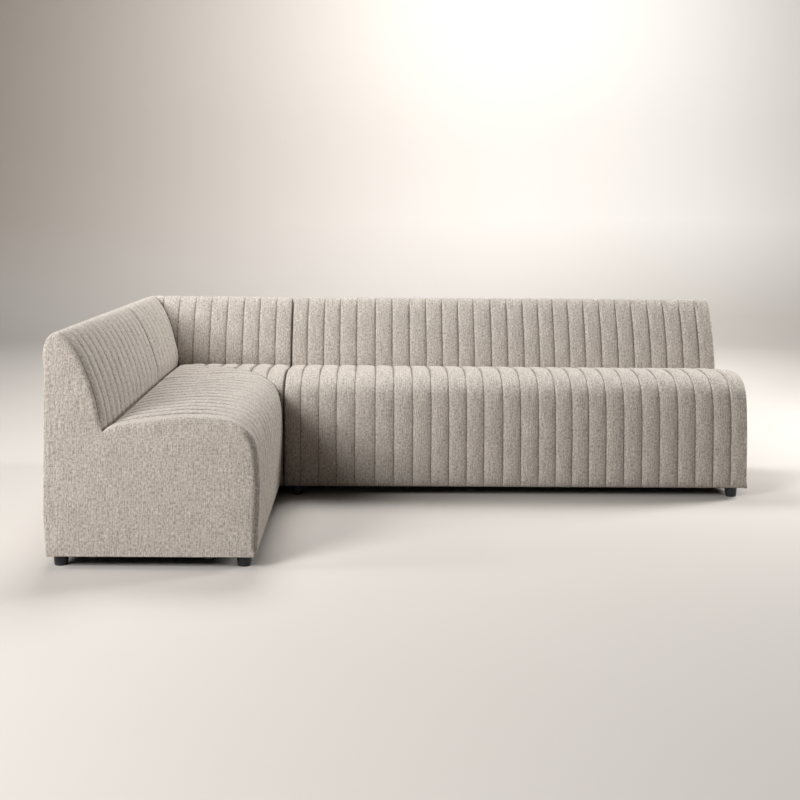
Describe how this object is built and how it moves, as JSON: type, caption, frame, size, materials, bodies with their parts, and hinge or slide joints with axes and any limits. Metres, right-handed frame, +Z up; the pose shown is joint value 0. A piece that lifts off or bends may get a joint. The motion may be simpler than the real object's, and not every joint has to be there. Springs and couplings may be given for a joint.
{
  "type": "modular sofa",
  "caption": "L-shaped armless modular sofa with channel-sewn seats and backs: a long bench, a square corner and a short bench that dock together on low round feet.",
  "frame": {"origin": "on the floor below the middle of the whole sofa's box, units docked", "axes": "+X along the long bench away from the corner, +Y towards the long bench's back, +Z up"},
  "size_m": [2.863, 1.963, 0.846],
  "materials": {
    "woven_fabric": "heathered greige woven upholstery cloth, matt",
    "plywood": "unfinished birch plywood",
    "timber": "sawn softwood",
    "lining": "black non-woven dust cloth",
    "foot_plastic": "moulded black, satin",
    "connector_steel": "black powder coat"
  },
  "bodies": {
    "corner": {"corner_seat_pad": "woven_fabric", "corner_left_back_pad": "woven_fabric", "corner_right_back_pad": "woven_fabric", "corner_left_dock_panel": "woven_fabric", "corner_right_dock_panel": "woven_fabric", "corner_left_outer_panel": "woven_fabric", "corner_right_outer_panel": "woven_fabric", "corner_dust_cover": "lining", "corner_left_rail": "timber", "corner_right_rail": "timber", "corner_left_former": "plywood", "corner_right_former": "plywood", "corner_inner_block": "timber", "corner_seat_deck": "plywood", "corner_left_back_support": "plywood", "corner_right_back_support": "plywood", "corner_left_foot": "foot_plastic", "corner_outer_foot": "foot_plastic", "corner_right_foot": "foot_plastic", "corner_inner_foot": "foot_plastic", "corner_left_keeper_bar": "connector_steel", "corner_right_keeper_bar": "connector_steel"},
    "left_bench": {"left_bench_seat_pad": "woven_fabric", "left_bench_back_pad": "woven_fabric", "left_bench_free_end_panel": "woven_fabric", "left_bench_dock_end_panel": "woven_fabric", "left_bench_rear_panel": "woven_fabric", "left_bench_dust_cover": "lining", "left_bench_front_rail": "timber", "left_bench_rear_rail": "timber", "left_bench_free_end_former": "plywood", "left_bench_dock_end_former": "plywood", "left_bench_seat_deck": "plywood", "left_bench_back_support": "plywood", "left_bench_rear_free_foot": "foot_plastic", "left_bench_front_free_foot": "foot_plastic", "left_bench_rear_dock_foot": "foot_plastic", "left_bench_front_dock_foot": "foot_plastic", "left_bench_tongue_bar": "connector_steel", "left_bench_keeper_bar": "connector_steel"},
    "right_bench": {"right_bench_seat_pad": "woven_fabric", "right_bench_back_pad": "woven_fabric", "right_bench_free_end_panel": "woven_fabric", "right_bench_dock_end_panel": "woven_fabric", "right_bench_rear_panel": "woven_fabric", "right_bench_dust_cover": "lining", "right_bench_front_rail": "timber", "right_bench_rear_rail": "timber", "right_bench_free_end_former": "plywood", "right_bench_dock_end_former": "plywood", "right_bench_seat_deck": "plywood", "right_bench_back_support": "plywood", "right_bench_rear_free_foot": "foot_plastic", "right_bench_front_free_foot": "foot_plastic", "right_bench_rear_dock_foot": "foot_plastic", "right_bench_front_dock_foot": "foot_plastic", "right_bench_tongue_bar": "connector_steel", "right_bench_keeper_bar": "connector_steel", "right_bench_centre_former": "plywood"}
  },
  "joints": [
    {"name": "left_bench_undock", "type": "slide", "parent": "corner", "child": "left_bench", "axis": [0, -1, 0], "range_m": [0, 0.25]},
    {"name": "right_bench_undock", "type": "slide", "parent": "corner", "child": "right_bench", "axis": [1, 0, 0], "range_m": [0, 0.25]}
  ]
}
